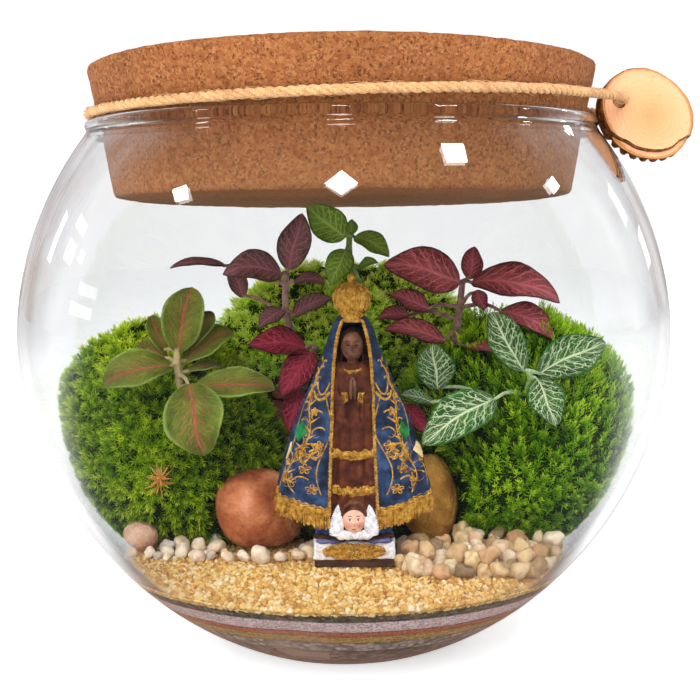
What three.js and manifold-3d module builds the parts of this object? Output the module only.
// A planted glass bowl with a cork lid, a twine tie and a wood slice tag.
// Millimetres, +Z up, the front towards -Y. The origin is the centre of the bowl's flat foot.
import * as THREE from 'three';
import { mergeVertices } from 'three/addons/utils/BufferGeometryUtils.js';
import Module from 'manifold-3d';

const wasm = await Module();
wasm.setup();

// ---- driving dimensions -------------------------------------------------------------------------
const BOWL_RADIUS = 100;          // at its widest
const BOWL_WIDEST = 96.7;         // height of the widest point
const BOWL_HALF_HEIGHT = 102.7;   // of the rounded body, were it not cut flat at the foot
const BOWL_ROUNDNESS = 1.914;     // exponent of the body's outline, 2 being an ellipse
const BOWL_WALL = 3;
const BOWL_FLOOR = 4;             // height of the inner floor
const BOWL_SHOULDER = 157.5;      // height where the body turns into the lip
const LIP_RADIUS = 76.6;          // middle of the rounded lip
const LIP_HEIGHT = 160.6;
const LIP_ROUND = 1.8;
const ROUND_SIDES = 32;           // sides of everything turned

const CORK_TOP_RADIUS = 77.6;
const CORK_BOTTOM_RADIUS = 69.9;
const CORK_TOP = 177.2;
const CORK_BOTTOM = 138.9;
const CORK_EDGE = 0.9;            // worn bevel
const CORK_TILT = THREE.MathUtils.degToRad(2.4);   // the lid sits askew, its front high
const CORK_SHIFT = -0.65;         // along Y, which keeps the askew plug centred in the mouth

const TWINE_RADIUS = 1.5;
const TWINE_HEIGHT = 166.2;       // of the middle of the loop
const TWINE_RISE = 1.9;           // from the middle to the side where it holds the tag

const TAG_RADIUS = 15.4;
const TAG_THICKNESS = 4.8;
const TAG_FACE = [94.2, -2.5, 164.1];     // centre of the front face
const TAG_NORMAL = [0.266, -0.884, 0.384];
const TAG_HOLE = [-9.6, 2.2];             // in the face, from its centre
const TAG_HOLE_RADIUS = 2.1;

const CLEARANCE = 0.3;            // between neighbours
const LAYER_GAP = 0.1;
const FINEST_EDGE = 0.02;         // shorter edges, which cuts leave behind, are closed up
const LAYER_LEVELS = {            // top of each layer against the glass
  dark_gravel: 11.1, grey_gravel: 15, ochre_sand: 17.8, terracotta_sand: 19.6, pink_sand: 23.6,
  dark_soil: 26.2,
};
const SAND_TOP = 28.5;
const GRAIN_RELIEF = 0.7;
const PLANTING_FRONT = 12;        // Y where the front sand ends and the soil behind begins
const GROUND = SAND_TOP + CLEARANCE;   // what stands on the sand starts here

const LEAF_THICKNESS = 0.7;
const STEM_RADIUS = 1.1;
const PETIOLE_RADIUS = 0.6;

// ---- small tools --------------------------------------------------------------------------------
const point = (x, y, z) => new THREE.Vector3(x, y, z);
const { PI, cos, sin, abs, min, max, sign, hypot } = Math;

function seeded(seed) {
  let state = seed;
  return () => {
    state = (state * 1664525 + 1013904223) % 4294967296;
    return state / 4294967296;
  };
}

// A closed skin through rings of points, with a fan over each end unless the rings close on themselves.
function loft(rings, joinsItself = false) {
  const sides = rings[0].length;
  const corners = rings.flat();
  const faces = [];
  const spans = joinsItself ? rings.length : rings.length - 1;
  for (let ring = 0; ring < spans; ring++) {
    const next = (ring + 1) % rings.length;
    for (let side = 0; side < sides; side++) {
      const beside = (side + 1) % sides;
      const a = ring * sides + side;
      const b = ring * sides + beside;
      const c = next * sides + side;
      const d = next * sides + beside;
      faces.push(a, b, d, a, d, c);
    }
  }
  if (!joinsItself) {
    [0, rings.length - 1].forEach((ring) => {
      const centre = point(0, 0, 0);
      rings[ring].forEach((corner) => centre.add(corner));
      corners.push(centre.divideScalar(sides));
      for (let side = 0; side < sides; side++) {
        const a = ring * sides + side;
        const b = ring * sides + (side + 1) % sides;
        faces.push(corners.length - 1, ...(ring ? [a, b] : [b, a]));
      }
    });
  }
  const skin = new THREE.BufferGeometry().setFromPoints(corners);
  skin.setIndex(faces);
  return skin;
}

// A solid from a closed skin, whichever way its faces point.
function solid(skin) {
  const bare = skin.clone();
  bare.deleteAttribute('normal');
  bare.deleteAttribute('uv');
  const merged = mergeVertices(bare, 1e-4);
  const places = merged.attributes.position.array;
  const corner = (i) => point(places[3 * i], places[3 * i + 1], places[3 * i + 2]);
  const kept = [];
  let volume = 0;
  for (let i = 0; i < merged.index.count; i += 3) {
    const [a, b, c] = merged.index.array.slice(i, i + 3);
    if (a !== b && b !== c && c !== a) {
      kept.push([a, b, c]);
      volume += corner(a).dot(corner(b).cross(corner(c)));
    }
  }
  const faces = kept.flatMap(([a, b, c]) => (volume > 0 ? [a, b, c] : [a, c, b]));
  return new wasm.Manifold(new wasm.Mesh({
    numProp: 3, vertProperties: Float32Array.from(places), triVerts: Uint32Array.from(faces),
  }));
}

const fuse = (solids) => solids.reduce((whole, piece) => whole.add(piece));
const carve = (body, cutters) => cutters.reduce((left, cutter) => left.subtract(cutter), body);

// The main lump of a solid: crumbs that a cut leaves loose are dropped.
function mainLump(body) {
  return body.decompose().reduce((best, lump) => (lump.volume() > best.volume() ? lump : best));
}

const terrarium = new THREE.Group();

function place(name, body, colour, roughness, extras = {}) {
  const cut = mainLump(body.simplify(FINEST_EDGE)).getMesh();
  const skin = new THREE.BufferGeometry();
  skin.setAttribute('position', new THREE.BufferAttribute(cut.vertProperties, 3));
  skin.setIndex(new THREE.BufferAttribute(cut.triVerts, 1));
  skin.computeVertexNormals();
  const finish = new THREE.MeshStandardMaterial({ color: colour, roughness, metalness: 0, ...extras });
  const piece = new THREE.Mesh(skin, finish);
  piece.name = name;
  terrarium.add(piece);
}

// A solid turned round the Z axis from [radius, height] pairs.
function turned(outline, sides = ROUND_SIDES) {
  const skin = new THREE.LatheGeometry(outline.map(([r, z]) => new THREE.Vector2(r, z)), sides);
  return solid(skin.rotateX(PI / 2));
}

// A round bar along a curve, its radius falling from one end to the other.
function bar(curve, steps, startRadius, endRadius = startRadius, sides = 6) {
  const frames = curve.computeFrenetFrames(steps, false);
  const rings = [];
  for (let step = 0; step <= steps; step++) {
    const middle = curve.getPointAt(step / steps);
    const radius = THREE.MathUtils.lerp(startRadius, endRadius, step / steps);
    rings.push(Array.from({ length: sides }, (_, side) => {
      const angle = 2 * PI * side / sides;
      return middle.clone()
        .addScaledVector(frames.normals[step], radius * cos(angle))
        .addScaledVector(frames.binormals[step], radius * sin(angle));
    }));
  }
  return solid(loft(rings));
}

function egg(centre, halfSizes, detail, turn = [0, 0, 0], swell = 1) {
  const skin = new THREE.IcosahedronGeometry(1, detail);
  skin.scale(...halfSizes.map((half) => half * swell));
  const [x, y, z] = turn.map(THREE.MathUtils.degToRad);
  skin.applyMatrix4(new THREE.Matrix4().makeRotationFromEuler(new THREE.Euler(x, y, z)));
  return solid(skin.translate(...centre));
}

// ---- the bowl -----------------------------------------------------------------------------------
function bowlRadius(z, inset = 0) {
  const reach = abs(z - BOWL_WIDEST) / (BOWL_HALF_HEIGHT - inset);
  return (BOWL_RADIUS - inset) * max(0, 1 - reach ** BOWL_ROUNDNESS) ** (1 / BOWL_ROUNDNESS);
}

const OUTER_LEVELS = [0, 3, 8, 15, 26, 40, 58, 77, 97, 116, 133, 147, BOWL_SHOULDER];
const INNER_LEVELS = [BOWL_FLOOR, 7, ...Object.values(LAYER_LEVELS).filter((z, i) => i % 2 === 0), 34, 48,
  65, 82, 99, 118, 135, 147, 155];

function glassBowl() {
  const outside = OUTER_LEVELS.map((z) => [bowlRadius(z), z]);
  const lip = [-0.4, 0, 0.35, 0.65, 1, 1.3].map((turn) => [
    LIP_RADIUS + LIP_ROUND * cos(turn * PI), LIP_HEIGHT + LIP_ROUND * sin(turn * PI)]);
  const inside = INNER_LEVELS.map((z) => [bowlRadius(z, BOWL_WALL), z]).reverse();
  return turned([[0, 0], ...outside, ...lip.slice(1), ...inside, [0, BOWL_FLOOR]]);
}

// All that fits inside the glass, kept a gap away from it.
function hollow(gap) {
  const wall = INNER_LEVELS.map((z) => [bowlRadius(z, BOWL_WALL) - gap, z]);
  return turned([[0, BOWL_FLOOR], ...wall, [0, INNER_LEVELS.at(-1)]]);
}

function layers() {
  let bottom = BOWL_FLOOR + LAYER_GAP;
  const bodies = {};
  for (const [name, top] of Object.entries(LAYER_LEVELS)) {
    const heights = [bottom, ...INNER_LEVELS.filter((z) => z > bottom && z < top), top];
    const wall = heights.map((z) => [bowlRadius(z, BOWL_WALL) - CLEARANCE, z]);
    bodies[name] = turned([[0, bottom], ...wall, [0, top]]);
    bottom = top + LAYER_GAP;
  }
  return bodies;
}

// ---- lid, twine and tag -------------------------------------------------------------------------
function corkLid() {
  const outline = [
    [0, CORK_BOTTOM], [CORK_BOTTOM_RADIUS - CORK_EDGE, CORK_BOTTOM],
    [CORK_BOTTOM_RADIUS, CORK_BOTTOM + CORK_EDGE], [CORK_TOP_RADIUS, CORK_TOP - CORK_EDGE],
    [CORK_TOP_RADIUS - CORK_EDGE, CORK_TOP], [0, CORK_TOP],
  ];
  const lid = new THREE.LatheGeometry(outline.map(([r, z]) => new THREE.Vector2(r, z)), ROUND_SIDES);
  lid.rotateX(PI / 2).translate(0, 0, -LIP_HEIGHT).rotateX(-CORK_TILT);
  return solid(lid.translate(0, CORK_SHIFT, LIP_HEIGHT));
}

// The lid's radius from the bowl's axis, at a height above the lip, in the direction of a side angle.
function corkReach(angle, z) {
  const along = z + CORK_BOTTOM_RADIUS * sin(angle) * Math.tan(CORK_TILT) - CORK_BOTTOM;
  const taper = (CORK_TOP_RADIUS - CORK_BOTTOM_RADIUS) / (CORK_TOP - CORK_BOTTOM);
  const lean = CORK_SHIFT + (z - LIP_HEIGHT) * Math.tan(CORK_TILT);
  return CORK_BOTTOM_RADIUS + taper * along + lean * sin(angle);
}

// Gives a place on the tag from its distances right, up and behind the middle of its face.
function tagFrame() {
  const normal = point(...TAG_NORMAL).normalize();
  const right = point(1, 0, 0).addScaledVector(normal, -normal.x).normalize();
  const up = normal.clone().cross(right);
  return (a, b, depth) => point(...TAG_FACE)
    .addScaledVector(right, a).addScaledVector(up, b).addScaledVector(normal, -depth);
}

// A slice of a branch: a flat face, a bark edge and, below, a shelf with saw cuts through the bark.
function woodTag() {
  const onTag = tagFrame();
  const SIDES = 44;
  const SHELF = { from: 1.18 * PI, to: 1.86 * PI, width: 2.2, tooth: 1.3, teeth: 7 };
  const ring = (depth, shrink, isBack) => Array.from({ length: SIDES }, (_, side) => {
    const angle = 2 * PI * side / SIDES;
    let radius = TAG_RADIUS * (1 + 0.012 * sin(2 * angle + 1) + 0.008 * sin(5 * angle)) - shrink;
    const along = (angle - SHELF.from) / (SHELF.to - SHELF.from);
    if (along > 0 && along < 1) {
      radius -= isBack ? SHELF.tooth * ((along * SHELF.teeth) % 1) : SHELF.width * min(1, 6 * along);
    }
    return onTag(radius * cos(angle), radius * sin(angle), depth);
  });
  const slice = solid(loft([
    ring(0, 0.6, false), ring(0.5, 0, false), ring(2.6, 0, true), ring(TAG_THICKNESS, 0.5, true),
  ]));
  const holeAxis = new THREE.LineCurve3(onTag(...TAG_HOLE, -5), onTag(...TAG_HOLE, TAG_THICKNESS + 5));
  return slice.subtract(bar(holeAxis, 1, TAG_HOLE_RADIUS, TAG_HOLE_RADIUS, 10));
}

// One loop of twine: round the cork, then straight to the tag's hole and back.
function twineLoop() {
  const onTag = tagFrame();
  const hole = onTag(...TAG_HOLE, TAG_THICKNESS / 2);
  const holeAngle = Math.atan2(hole.y, hole.x);
  const leaves = Math.acos((TWINE_RADIUS + corkReach(holeAngle, hole.z)) / hypot(hole.x, hole.y)) + 0.06;
  const ROUND_STEPS = 34;
  const path = [];
  for (let step = 0; step <= ROUND_STEPS; step++) {
    const angle = holeAngle + leaves + (2 * PI - 2 * leaves) * step / ROUND_STEPS;
    const z = TWINE_HEIGHT + TWINE_RISE * cos(angle) + 0.6 * sin(angle);
    const radius = corkReach(angle, z) + TWINE_RADIUS + 1.6 * CLEARANCE;
    path.push(point(radius * cos(angle), radius * sin(angle), z));
  }
  path.push(onTag(...TAG_HOLE, -3), hole, onTag(...TAG_HOLE, TAG_THICKNESS + 3));
  const sides = 6;
  const rings = path.map((middle, index) => {
    const before = path[(index + path.length - 1) % path.length];
    const after = path[(index + 1) % path.length];
    const along = after.clone().sub(before).normalize();
    const outward = along.clone().cross(point(0, 0, 1)).normalize();
    const upward = outward.clone().cross(along);
    return Array.from({ length: sides }, (_, side) => middle.clone()
      .addScaledVector(outward, TWINE_RADIUS * cos(2 * PI * side / sides))
      .addScaledVector(upward, TWINE_RADIUS * sin(2 * PI * side / sides)));
  });
  return solid(loft(rings, true));
}

// ---- ground -------------------------------------------------------------------------------------
// A slab with a top that follows a height rule, built of rows from front to back.
function ground(fromY, toY, rows, columns, bottom, height) {
  const HALF_WIDTH = BOWL_RADIUS;
  const rings = Array.from({ length: rows + 1 }, (_, row) => {
    const y = THREE.MathUtils.lerp(fromY, toY, row / rows);
    const top = Array.from({ length: columns + 1 }, (_, column) => {
      const x = THREE.MathUtils.lerp(-HALF_WIDTH, HALF_WIDTH, column / columns);
      return point(x, y, height(x, y, row, column));
    });
    return [...top, point(HALF_WIDTH, y, bottom), point(-HALF_WIDTH, y, bottom)];
  });
  return solid(loft(rings));
}

function yellowSand() {
  const random = seeded(11);
  const ROWS = 12;
  const grain = (x, y, row) => (row === 0 || row === ROWS ? SAND_TOP : SAND_TOP - GRAIN_RELIEF * random());
  const bottom = LAYER_LEVELS.dark_soil + LAYER_GAP;
  return ground(-84, PLANTING_FRONT - CLEARANCE, ROWS, 24, bottom, grain).intersect(hollow(CLEARANCE));
}

const SOIL_RISE = 36;            // from the sand's level to the back wall
function soilMound(lift = 0) {
  const height = (x, y, row) => {
    const back = THREE.MathUtils.smoothstep(y, PLANTING_FRONT, 70);
    const lumps = row === 0 ? 0 : 1.2 * sin(x / 7) * cos(y / 6);
    return SAND_TOP + lift + SOIL_RISE * back + lumps;
  };
  const bottom = LAYER_LEVELS.dark_soil + LAYER_GAP - lift;
  return ground(PLANTING_FRONT - lift, 98, 8, 14, bottom, height);
}

// ---- stones and pebbles -------------------------------------------------------------------------
const STONES = {
  stone_brown: { centre: [-26.5, -3, 41.2], half: [14, 11.5, 12.2], turn: [0, 12, 20], colour: 0x9a5a3c },
  stone_tan: { centre: [26.5, 3, 43.4], half: [9.6, 8.5, 14.2], turn: [0, -6, 0], colour: 0xa98a62 },
  stone_pink: { centre: [-64.6, -8, 34], half: [5.6, 6, 5], turn: [0, 0, 30], colour: 0xb07a5e },
};
const stone = ({ centre, half, turn }, swell) => egg(centre, half, 2, turn, swell);

const PEBBLE_SPACING = 7.2;
// A bed of pebbles in an ellipse of the ground: each pebble sinks into the grit that holds them.
function pebbleBed(seed, centre, halfX, halfY, isClear, smallest, largest) {
  const random = seeded(seed);
  const rim = new THREE.Shape().absellipse(centre[0], centre[1], halfX, halfY, 0, 2 * PI);
  const grit = new THREE.ExtrudeGeometry(rim, { depth: 1.4, bevelEnabled: false, curveSegments: 16 });
  const pebbles = [solid(grit.translate(0, 0, GROUND))];
  for (let row = -8; row <= 8; row++) {
    for (let column = -8; column <= 8; column++) {
      const x = centre[0] + PEBBLE_SPACING * (column + (row % 2) / 2 + 0.5 * (random() - 0.5));
      const y = centre[1] + PEBBLE_SPACING * (row * 0.87 + 0.5 * (random() - 0.5));
      const half = [0, 1, 2].map(() => THREE.MathUtils.lerp(smallest, largest, random()));
      const turn = [360 * random(), 360 * random(), 360 * random()];
      const inEllipse = ((x - centre[0]) / halfX) ** 2 + ((y - centre[1]) / halfY) ** 2 < 0.9;
      if (inEllipse && isClear(x, y)) {
        const lowest = min(...half) * 0.72;
        pebbles.push(egg([x, y, GROUND + 0.2 + lowest], half, 0, turn));
      }
    }
  }
  const aboveGround = egg([centre[0], centre[1], GROUND + 20], [60, 60, 20], 3);
  return fuse(pebbles).intersect(aboveGround);
}

// ---- moss ---------------------------------------------------------------------------------------
const CUSHIONS = {
  moss_left: { centre: [-54, 33], half: [45, 39], top: 88, tuft: 4.2, seed: 3, colour: 0x5f7f22 },
  moss_right: { centre: [57, 33], half: [44, 39], top: 91, tuft: 4.2, seed: 5, colour: 0x567a1f },
  moss_back: { centre: [-4, 53], half: [58, 33], top: 110, tuft: 4.5, seed: 8, colour: 0x86a632 },
};

// A cushion of moss: a dome whose skin stands up in pointed tufts.
function cushion({ centre, half, top, tuft, seed }, swell = 0) {
  const random = seeded(seed);
  const SIDES = 30;
  const RINGS = 10;
  const rings = [];
  for (let ring = 1; ring <= RINGS; ring++) {
    const fall = (PI / 2) * ring / RINGS;
    rings.push(Array.from({ length: SIDES }, (_, side) => {
      const angle = 2 * PI * side / SIDES;
      const isTip = (ring + side) % 2 === 0 && ring < RINGS;
      const lump = 1 + 0.04 * sin(3 * angle + seed) + 0.03 * sin(5 * angle + 4 * fall);
      const out = swell + (isTip ? tuft * (0.5 + random()) : 0);
      return point(
        centre[0] + (half[0] * lump * sin(fall) ** 0.85 + out * sin(fall)) * cos(angle),
        centre[1] + (half[1] * lump * sin(fall) ** 0.85 + out * sin(fall)) * sin(angle),
        GROUND - swell + (top - GROUND) * cos(fall) * lump + out * (cos(fall) + 0.4));
    }));
  }
  return solid(loft(rings));
}

// ---- fittonia plants ----------------------------------------------------------------------------
// A leaf from its base to its tip. tilt is how far its upper side turns from up (0) to the front (90).
// width is the blade's, arch is how far its middle stands above the line from base to tip.
function leafBlade({ base, tip, width, tilt = 45, arch = 2, roll = 0 }, spread = 0) {
  const start = point(...base);
  const along = point(...tip).sub(start);
  const length = along.length();
  along.normalize();
  const facing = THREE.MathUtils.degToRad(tilt);
  const turn = THREE.MathUtils.degToRad(roll);
  const face = point(sin(turn), -sin(facing), cos(facing));
  face.addScaledVector(along, -face.dot(along)).normalize();
  const across = along.clone().cross(face);
  const STEPS = length > 19 ? 5 : 3;
  const rings = [];
  for (let step = 0; step <= STEPS; step++) {
    const t = step / STEPS;
    const atBase = step === 0;
    const half = (atBase ? PETIOLE_RADIUS : LEAF_THICKNESS / 2) + spread;
    const reach = (width / 2) * sin(PI * t ** 0.8) ** 0.75 + (atBase ? 0.8 : 0.35) + spread;
    const wave = atBase ? 0 : 0.035 * length * (step % 2 ? 1 : -1);
    const fold = atBase ? 0 : 0.12 * width;
    const lift = 4 * arch * t * (1 - t);
    const middle = start.clone().addScaledVector(along, length * t);
    const edge = (side, rise) => middle.clone()
      .addScaledVector(across, side * reach).addScaledVector(face, lift + fold + wave * side + rise);
    const rib = (rise) => middle.clone().addScaledVector(face, lift + rise);
    rings.push([edge(-1, half), rib(half), edge(1, half), edge(1, -half), rib(-half), edge(-1, -half)]);
  }
  return solid(loft(rings));
}

// One leafy stem: the stem stands in the moss, and each leaf hangs on it by a petiole.
function leafyStem({ stem, leaves }, spread = 0) {
  const spine = new THREE.CatmullRomCurve3(stem.map((at) => point(...at)));
  const parts = [bar(spine, 5, STEM_RADIUS + spread, STEM_RADIUS * 0.7 + spread, 5)];
  leaves.forEach((leaf) => {
    const base = point(...leaf.base);
    const towards = point(...leaf.tip).sub(base).normalize();
    const joint = leaf.from === undefined ? nearestOn(spine, base) : spine.getPointAt(leaf.from);
    const inLeaf = base.clone().addScaledVector(towards, 0.4);
    const bend = joint.clone().lerp(base, 0.6).add(point(0, 0, 0.12 * joint.distanceTo(base)));
    const petiole = new THREE.CatmullRomCurve3([joint, bend, inLeaf]);
    parts.push(bar(petiole, 2, PETIOLE_RADIUS + spread, PETIOLE_RADIUS + spread, 3));
    parts.push(leafBlade(leaf, spread));
  });
  return fuse(parts);
}

function nearestOn(curve, target) {
  const samples = curve.getSpacedPoints(24);
  return samples.reduce((best, at) => (at.distanceTo(target) < best.distanceTo(target) ? at : best));
}

const FRONT_FACING = 78;
const PLANTS = {
  fittonia_left: {
    colour: 0x6f8f3f,
    stem: [[-50, 8, 58], [-50, -5, 74], [-51, -12, 87], [-51, -12, 93]],
    leaves: [
      { base: [-51, -12, 92], tip: [-47, -8, 112], width: 13, tilt: 82, arch: 1 },
      { base: [-52.5, -14, 88], tip: [-73, -18, 83], width: 13.5, tilt: 48, arch: 3 },
      { base: [-47, -17, 83], tip: [-42, -27, 63], width: 18, tilt: FRONT_FACING, arch: 3 },
      { base: [-46, -15, 81], tip: [-21, -19, 82], width: 11, tilt: 45, arch: 2 },
      { base: [-48, -10, 86], tip: [-38, -6, 87], width: 5, tilt: 30, arch: 1 },
      { base: [-49, -10, 89], tip: [-35, -1, 98], width: 11, tilt: 40, arch: 1.5 },
      { base: [-55, -9, 92], tip: [-60, -5, 103], width: 6, tilt: 60, arch: 1 },
      { base: [-54.5, -10, 90], tip: [-64, -8, 94], width: 7, tilt: 40, arch: 1 },
      { base: [-48, -8, 93], tip: [-41, -2, 104], width: 7, tilt: 60, arch: 1 },
    ],
  },
  fittonia_purple: {
    colour: 0x6d4456,
    stem: [[-16, 33, 82], [-17, 23, 92], [-19, 16, 104], [-18.5, 15, 115]],
    leaves: [
      { base: [-18, 15, 116], tip: [-13, 13, 134], width: 10.5, tilt: FRONT_FACING, arch: 1 },
      { base: [-20, 13, 114.5], tip: [-38, 5, 116], width: 12, tilt: 55, arch: 3 },
      { base: [-38, 13, 117.5], tip: [-55, 7, 118], width: 5, tilt: 30, arch: 1, from: 0.9 },
      { base: [-33, 20, 107], tip: [-37, 20, 118], width: 6, tilt: 70, arch: 1, from: 0.6 },
      { base: [-16, 13, 112], tip: [-6, 10, 112], width: 7, tilt: 30, arch: 1 },
      { base: [-19.5, 13, 103], tip: [-27, 8, 98], width: 7, tilt: 40, arch: 1 },
      { base: [-16.5, 14, 101], tip: [-4, 17, 107], width: 8, tilt: 35, arch: 1 },
    ],
  },
  fittonia_lime: {
    colour: 0x7fa845,
    stem: [[5, 43, 98], [5, 33, 109], [2, 25, 119], [2, 25, 127]],
    leaves: [
      { base: [0.5, 24, 126], tip: [-12, 20, 136], width: 11.5, tilt: FRONT_FACING, arch: 1 },
      { base: [1, 22, 122], tip: [-4, 16, 111], width: 9, tilt: 65, arch: 1.5 },
      { base: [3.5, 23, 126], tip: [15, 21, 120], width: 9, tilt: 40, arch: 1.5 },
      { base: [2.5, 25, 127], tip: [3, 25, 132], width: 4, tilt: 80, arch: 0.4 },
      { base: [5, 25, 116], tip: [11, 22, 118], width: 5, tilt: 40, arch: 0.6 },
    ],
  },
  fittonia_crimson: {
    colour: 0x8f2b45,
    stem: [[38, 28, 76], [36, 15, 91], [37, 11, 102], [38, 10, 112]],
    leaves: [
      { base: [37, 9, 111.5], tip: [13, 4, 118.5], width: 14, tilt: 70, arch: 3 },
      { base: [40.5, 8, 111.5], tip: [68, 1, 106], width: 14, tilt: 45, arch: 4 },
      { base: [40.5, 12, 112.5], tip: [42, 13, 123], width: 7, tilt: 75, arch: 1 },
      { base: [50, 6, 102.5], tip: [66, 0, 95], width: 11, tilt: 42, arch: 2, from: 0.75 },
      { base: [27, 8, 103], tip: [15, 6, 108], width: 8, tilt: 50, arch: 1 },
      { base: [21, 12, 101], tip: [11, 12, 100], width: 7, tilt: 35, arch: 1, from: 0.7 },
      { base: [32, 6, 93], tip: [13, 2, 98], width: 9, tilt: 42, arch: 1.5 },
      { base: [42, 8, 109], tip: [44.5, 5, 103], width: 5, tilt: 70, arch: 0.6, from: 0.85 },
      { base: [39, 10, 91], tip: [50, 2, 89], width: 7, tilt: 30, arch: 1 },
    ],
  },
  fittonia_low: {
    colour: 0xa03450,
    stem: [[-14, 32, 70], [-13, 20, 80], [-11, 7, 87], [-9, 1, 92]],
    leaves: [
      { base: [-12, -2, 92], tip: [-29, -10, 94], width: 11, tilt: 50, arch: 2 },
      { base: [-10, -4, 91], tip: [-19, -16, 79], width: 10, tilt: 65, arch: 1.5 },
      { base: [-14, -5, 80], tip: [-17, -15, 68], width: 7.5, tilt: 70, arch: 1, from: 0.3 },
    ],
  },
  fittonia_sprig: {
    colour: 0x93304a,
    stem: [[31, 22, 62], [24, 10, 70], [19, -1, 73], [18, -6, 75]],
    leaves: [{ base: [18.5, -7.5, 74.5], tip: [25, -15, 67], width: 6, tilt: 60, arch: 1 }],
  },
  fittonia_white: {
    colour: 0x4d7f52,
    stem: [[52, 4, 62], [54, -3, 72], [57, -8, 80], [57, -9, 85]],
    leaves: [
      { base: [55, -10, 85], tip: [45, -6, 103], width: 11, tilt: FRONT_FACING, arch: 1 },
      { base: [59.5, -10, 84], tip: [80, -12, 94], width: 13, tilt: 62, arch: 2 },
      { base: [59, -12, 83], tip: [63, -22, 70], width: 11, tilt: 60, arch: 1.5 },
      { base: [46, -13, 77], tip: [23, -25, 66], width: 14, tilt: 58, arch: 2.5 },
      { base: [29, -4, 79], tip: [27.5, -3, 93], width: 12, tilt: FRONT_FACING, arch: 1, from: 0.35 },
      { base: [27, -6, 75], tip: [17.5, -9, 78], width: 6, tilt: 40, arch: 0.8, from: 0.3 },
    ],
  },
};

// ---- figurine -----------------------------------------------------------------------------------
const FIGURINE_AT = [2.5, -19.5, GROUND];     // middle of its base, on the sand
// The cloaked figure by height: half width of the cloak, half depth, half width of its front opening.
const CLOAK = [
  { z: 12.5, half: 24, depth: 9.2, opening: 7.6 },
  { z: 23, half: 20.6, depth: 9, opening: 7.1 },
  { z: 40, half: 16.2, depth: 8.4, opening: 5.8 },
  { z: 48, half: 14.2, depth: 7.8, opening: 5.2 },
  { z: 55, half: 12.2, depth: 7, opening: 4.6 },
  { z: 61, half: 9.6, depth: 6, opening: 4.2 },
  { z: 67, half: 7.4, depth: 5, opening: 3.9 },
  { z: 71.5, half: 6, depth: 4.2, opening: 3.2 },
  { z: 74.2, half: 3.6, depth: 3, opening: 1.6 },
];
const HEM_RISE = 7;              // the hem climbs from the front corners to the sides

function cloakedBody() {
  const BACK_STEPS = 14;
  const PLEATS = 6;
  const rings = CLOAK.map(({ z, half, depth, opening }, level) => {
    const hem = HEM_RISE * (1 - level / (CLOAK.length - 1)) ** 2;
    const lifted = (x, y) => point(x, y, z + hem * (abs(x) / half) ** 1.5);
    const ring = [];
    for (let step = 0; step <= BACK_STEPS; step++) {
      const angle = THREE.MathUtils.lerp(-0.46 * PI, 1.46 * PI, step / BACK_STEPS);
      const fold = 1 + 0.02 * (step % 2 ? 1 : -1) * (1 - level / CLOAK.length);
      const x = step === 0 || step === BACK_STEPS ? opening * (step ? -1 : 1) : half * fold * cos(angle);
      ring.push(lifted(x, depth * fold * sin(angle)));
    }
    for (let pleat = 0; pleat <= PLEATS; pleat++) {
      const x = THREE.MathUtils.lerp(-opening + 0.3, opening - 0.3, pleat / PLEATS);
      const y = -depth + 1.5 + (pleat % 2 ? 0 : 0.5) + 0.9 * (x / opening) ** 2;
      ring.push(point(x, y, z));
    }
    return ring;
  });
  return solid(loft(rings));
}

function ball(centre, halfSizes, across = 12, down = 8, turn = [0, 0, 0]) {
  const skin = new THREE.SphereGeometry(1, across, down).rotateX(PI / 2);
  skin.scale(...halfSizes);
  const [x, y, z] = turn.map(THREE.MathUtils.degToRad);
  skin.applyMatrix4(new THREE.Matrix4().makeRotationFromEuler(new THREE.Euler(x, y, z)));
  return solid(skin.translate(...centre));
}

function crown() {
  const outline = [[0, 73], [3.1, 73], [3.3, 75], [3, 75.6], [5, 77.4], [5.7, 79.6], [5.3, 81.6], [3.4, 83.4],
    [1.2, 84.2], [0.9, 84.9], [1.5, 85.8], [0.9, 86.8], [0, 87.2]];
  return turned(outline, 10);
}

function cloudBase() {
  const SIDES = 20;
  const ring = (z, halfX, halfY, puff) => Array.from({ length: SIDES }, (_, side) => {
    const angle = 2 * PI * side / SIDES;
    const square = (c) => sign(c) * abs(c) ** 0.55;
    const bulge = 1 + puff * abs(sin(5 * angle));
    return point(halfX * square(cos(angle)) * bulge, halfY * square(sin(angle)) * bulge, z);
  });
  return solid(loft([ring(0, 11.9, 8.2, 0), ring(2.4, 11.9, 8.2, 0), ring(2.6, 11.5, 7.9, 0.05),
    ring(5.5, 12, 8.2, 0.06), ring(8, 11.2, 7.6, 0.05), ring(9.2, 9, 6, 0.02)]));
}

function figurine() {
  const wings = [-1, 1].flatMap((side) => [
    ball([side * 5, -8.8, 15], [3.4, 1, 2.4], 8, 5, [0, side * -28, 0]),
    ball([side * 5.2, -8.5, 12.8], [3, 0.9, 1.7], 8, 4, [0, side * 12, 0]),
  ]);
  const sleeves = [-1, 1].map((side) => bar(new THREE.CatmullRomCurve3([
    point(side * 4.6, -5, 57), point(side * 4.2, -7.4, 50), point(side * 1.2, -9.2, 51.5)]), 4, 1.7, 1.3));
  return fuse([
    cloakedBody(), cloudBase(), crown(),
    ball([0, -2.2, 65.4], [3.4, 3.6, 4.6], 10, 8),
    ball([0, -9.4, 54], [1.1, 1.2, 3.6], 6, 5, [-12, 0, 0]),
    ball([0, -1.5, 10.5], [8.4, 6.2, 5.5], 9, 4),
    ...sleeves, ...wings,
    ball([0, -8.4, 16.2], [3.1, 3, 3.7], 10, 7),
    ball([0, -7.4, 17.7], [3.8, 2.8, 3.9], 9, 5, [0, 0, 10]),
    ball([0, -7.9, 5.2], [9.6, 1, 2.2], 13, 4),
  ]).translate(FIGURINE_AT);
}

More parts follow.
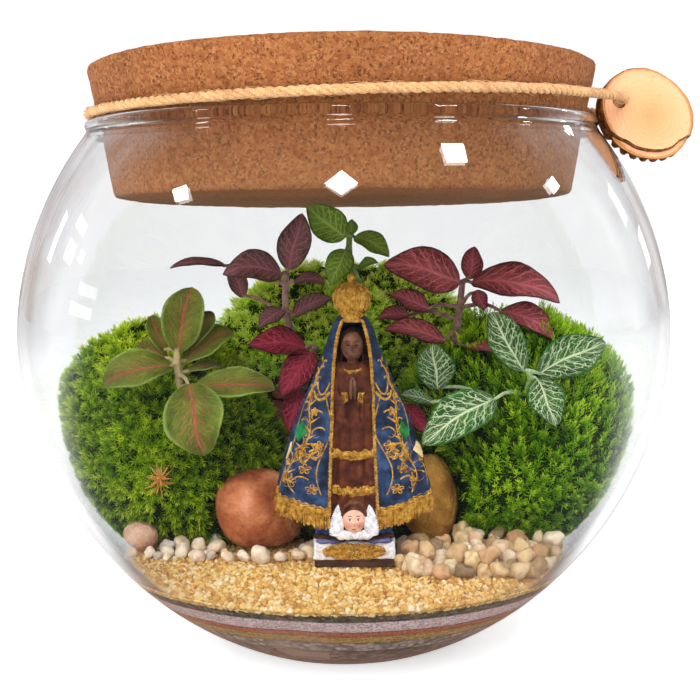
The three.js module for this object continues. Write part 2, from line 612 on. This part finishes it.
// ---- putting it together ------------------------------------------------------------------------
place('glass_bowl', glassBowl(), 0xe8f0f0, 0.05, { transparent: true, opacity: 0.3 });
place('cork_lid', corkLid(), 0xc58a58, 0.9);
place('twine', twineLoop(), 0xb89a70, 0.95);
place('wood_tag', woodTag(), 0xe9c184, 0.7);

const LAYER_COLOURS = {
  dark_gravel: 0x4b403c, grey_gravel: 0x77716c, ochre_sand: 0x9c7c44, terracotta_sand: 0x9a5340,
  pink_sand: 0xc2a5a3, dark_soil: 0x54504a,
};
Object.entries(layers()).forEach(([name, body]) => place(name, body, LAYER_COLOURS[name], 0.9));

const roomInside = hollow(CLEARANCE);
place('yellow_sand', yellowSand(), 0xd9b565, 0.95);
place('soil_mound', soilMound().intersect(roomInside), 0x3d2f24, 1);

Object.entries(STONES).forEach(([name, rock]) => place(name, stone(rock), rock.colour, 0.75));
const stoneRoom = Object.values(STONES).map((rock) => stone(rock, 1.04));

const plantRoom = Object.values(PLANTS).map((plant) => leafyStem(plant, 0.4));
Object.entries(PLANTS).forEach(([name, plant]) => place(name, leafyStem(plant), plant.colour, 0.6));

const raisedSoil = soilMound(CLEARANCE);
const mossRoom = hollow(2 * CLEARANCE);
let earlierMoss = [];
for (const [name, shape] of Object.entries(CUSHIONS)) {
  const dome = cushion(shape).intersect(mossRoom);
  place(name, carve(dome, [raisedSoil, ...stoneRoom, ...plantRoom, ...earlierMoss]), shape.colour, 1);
  earlierMoss = [...earlierMoss, cushion(shape, 0.9)];
}

const [leftCushion, rightCushion] = [CUSHIONS.moss_left, CUSHIONS.moss_right];
const outside = ({ centre, half }, x, y) => hypot((x - centre[0]) / half[0], (y - centre[1]) / half[1]) > 1.1;
const beds = {
  pebbles_right: pebbleBed(21, [44, -21], 33, 21, (x, y) => outside(rightCushion, x, y), 2.5, 3.9),
  pebbles_left: pebbleBed(34, [-42, -7], 34, 12, (x, y) => outside(leftCushion, x, y), 2.2, 3.4),
};
Object.entries(beds).forEach(([name, bed]) => {
  const trimmed = carve(bed.intersect(roomInside), [...stoneRoom, ...earlierMoss]);
  place(name, trimmed, 0xcbb9a0, 0.8);
});
place('figurine', figurine(), 0x2f4f86, 0.45);

export default terrarium;
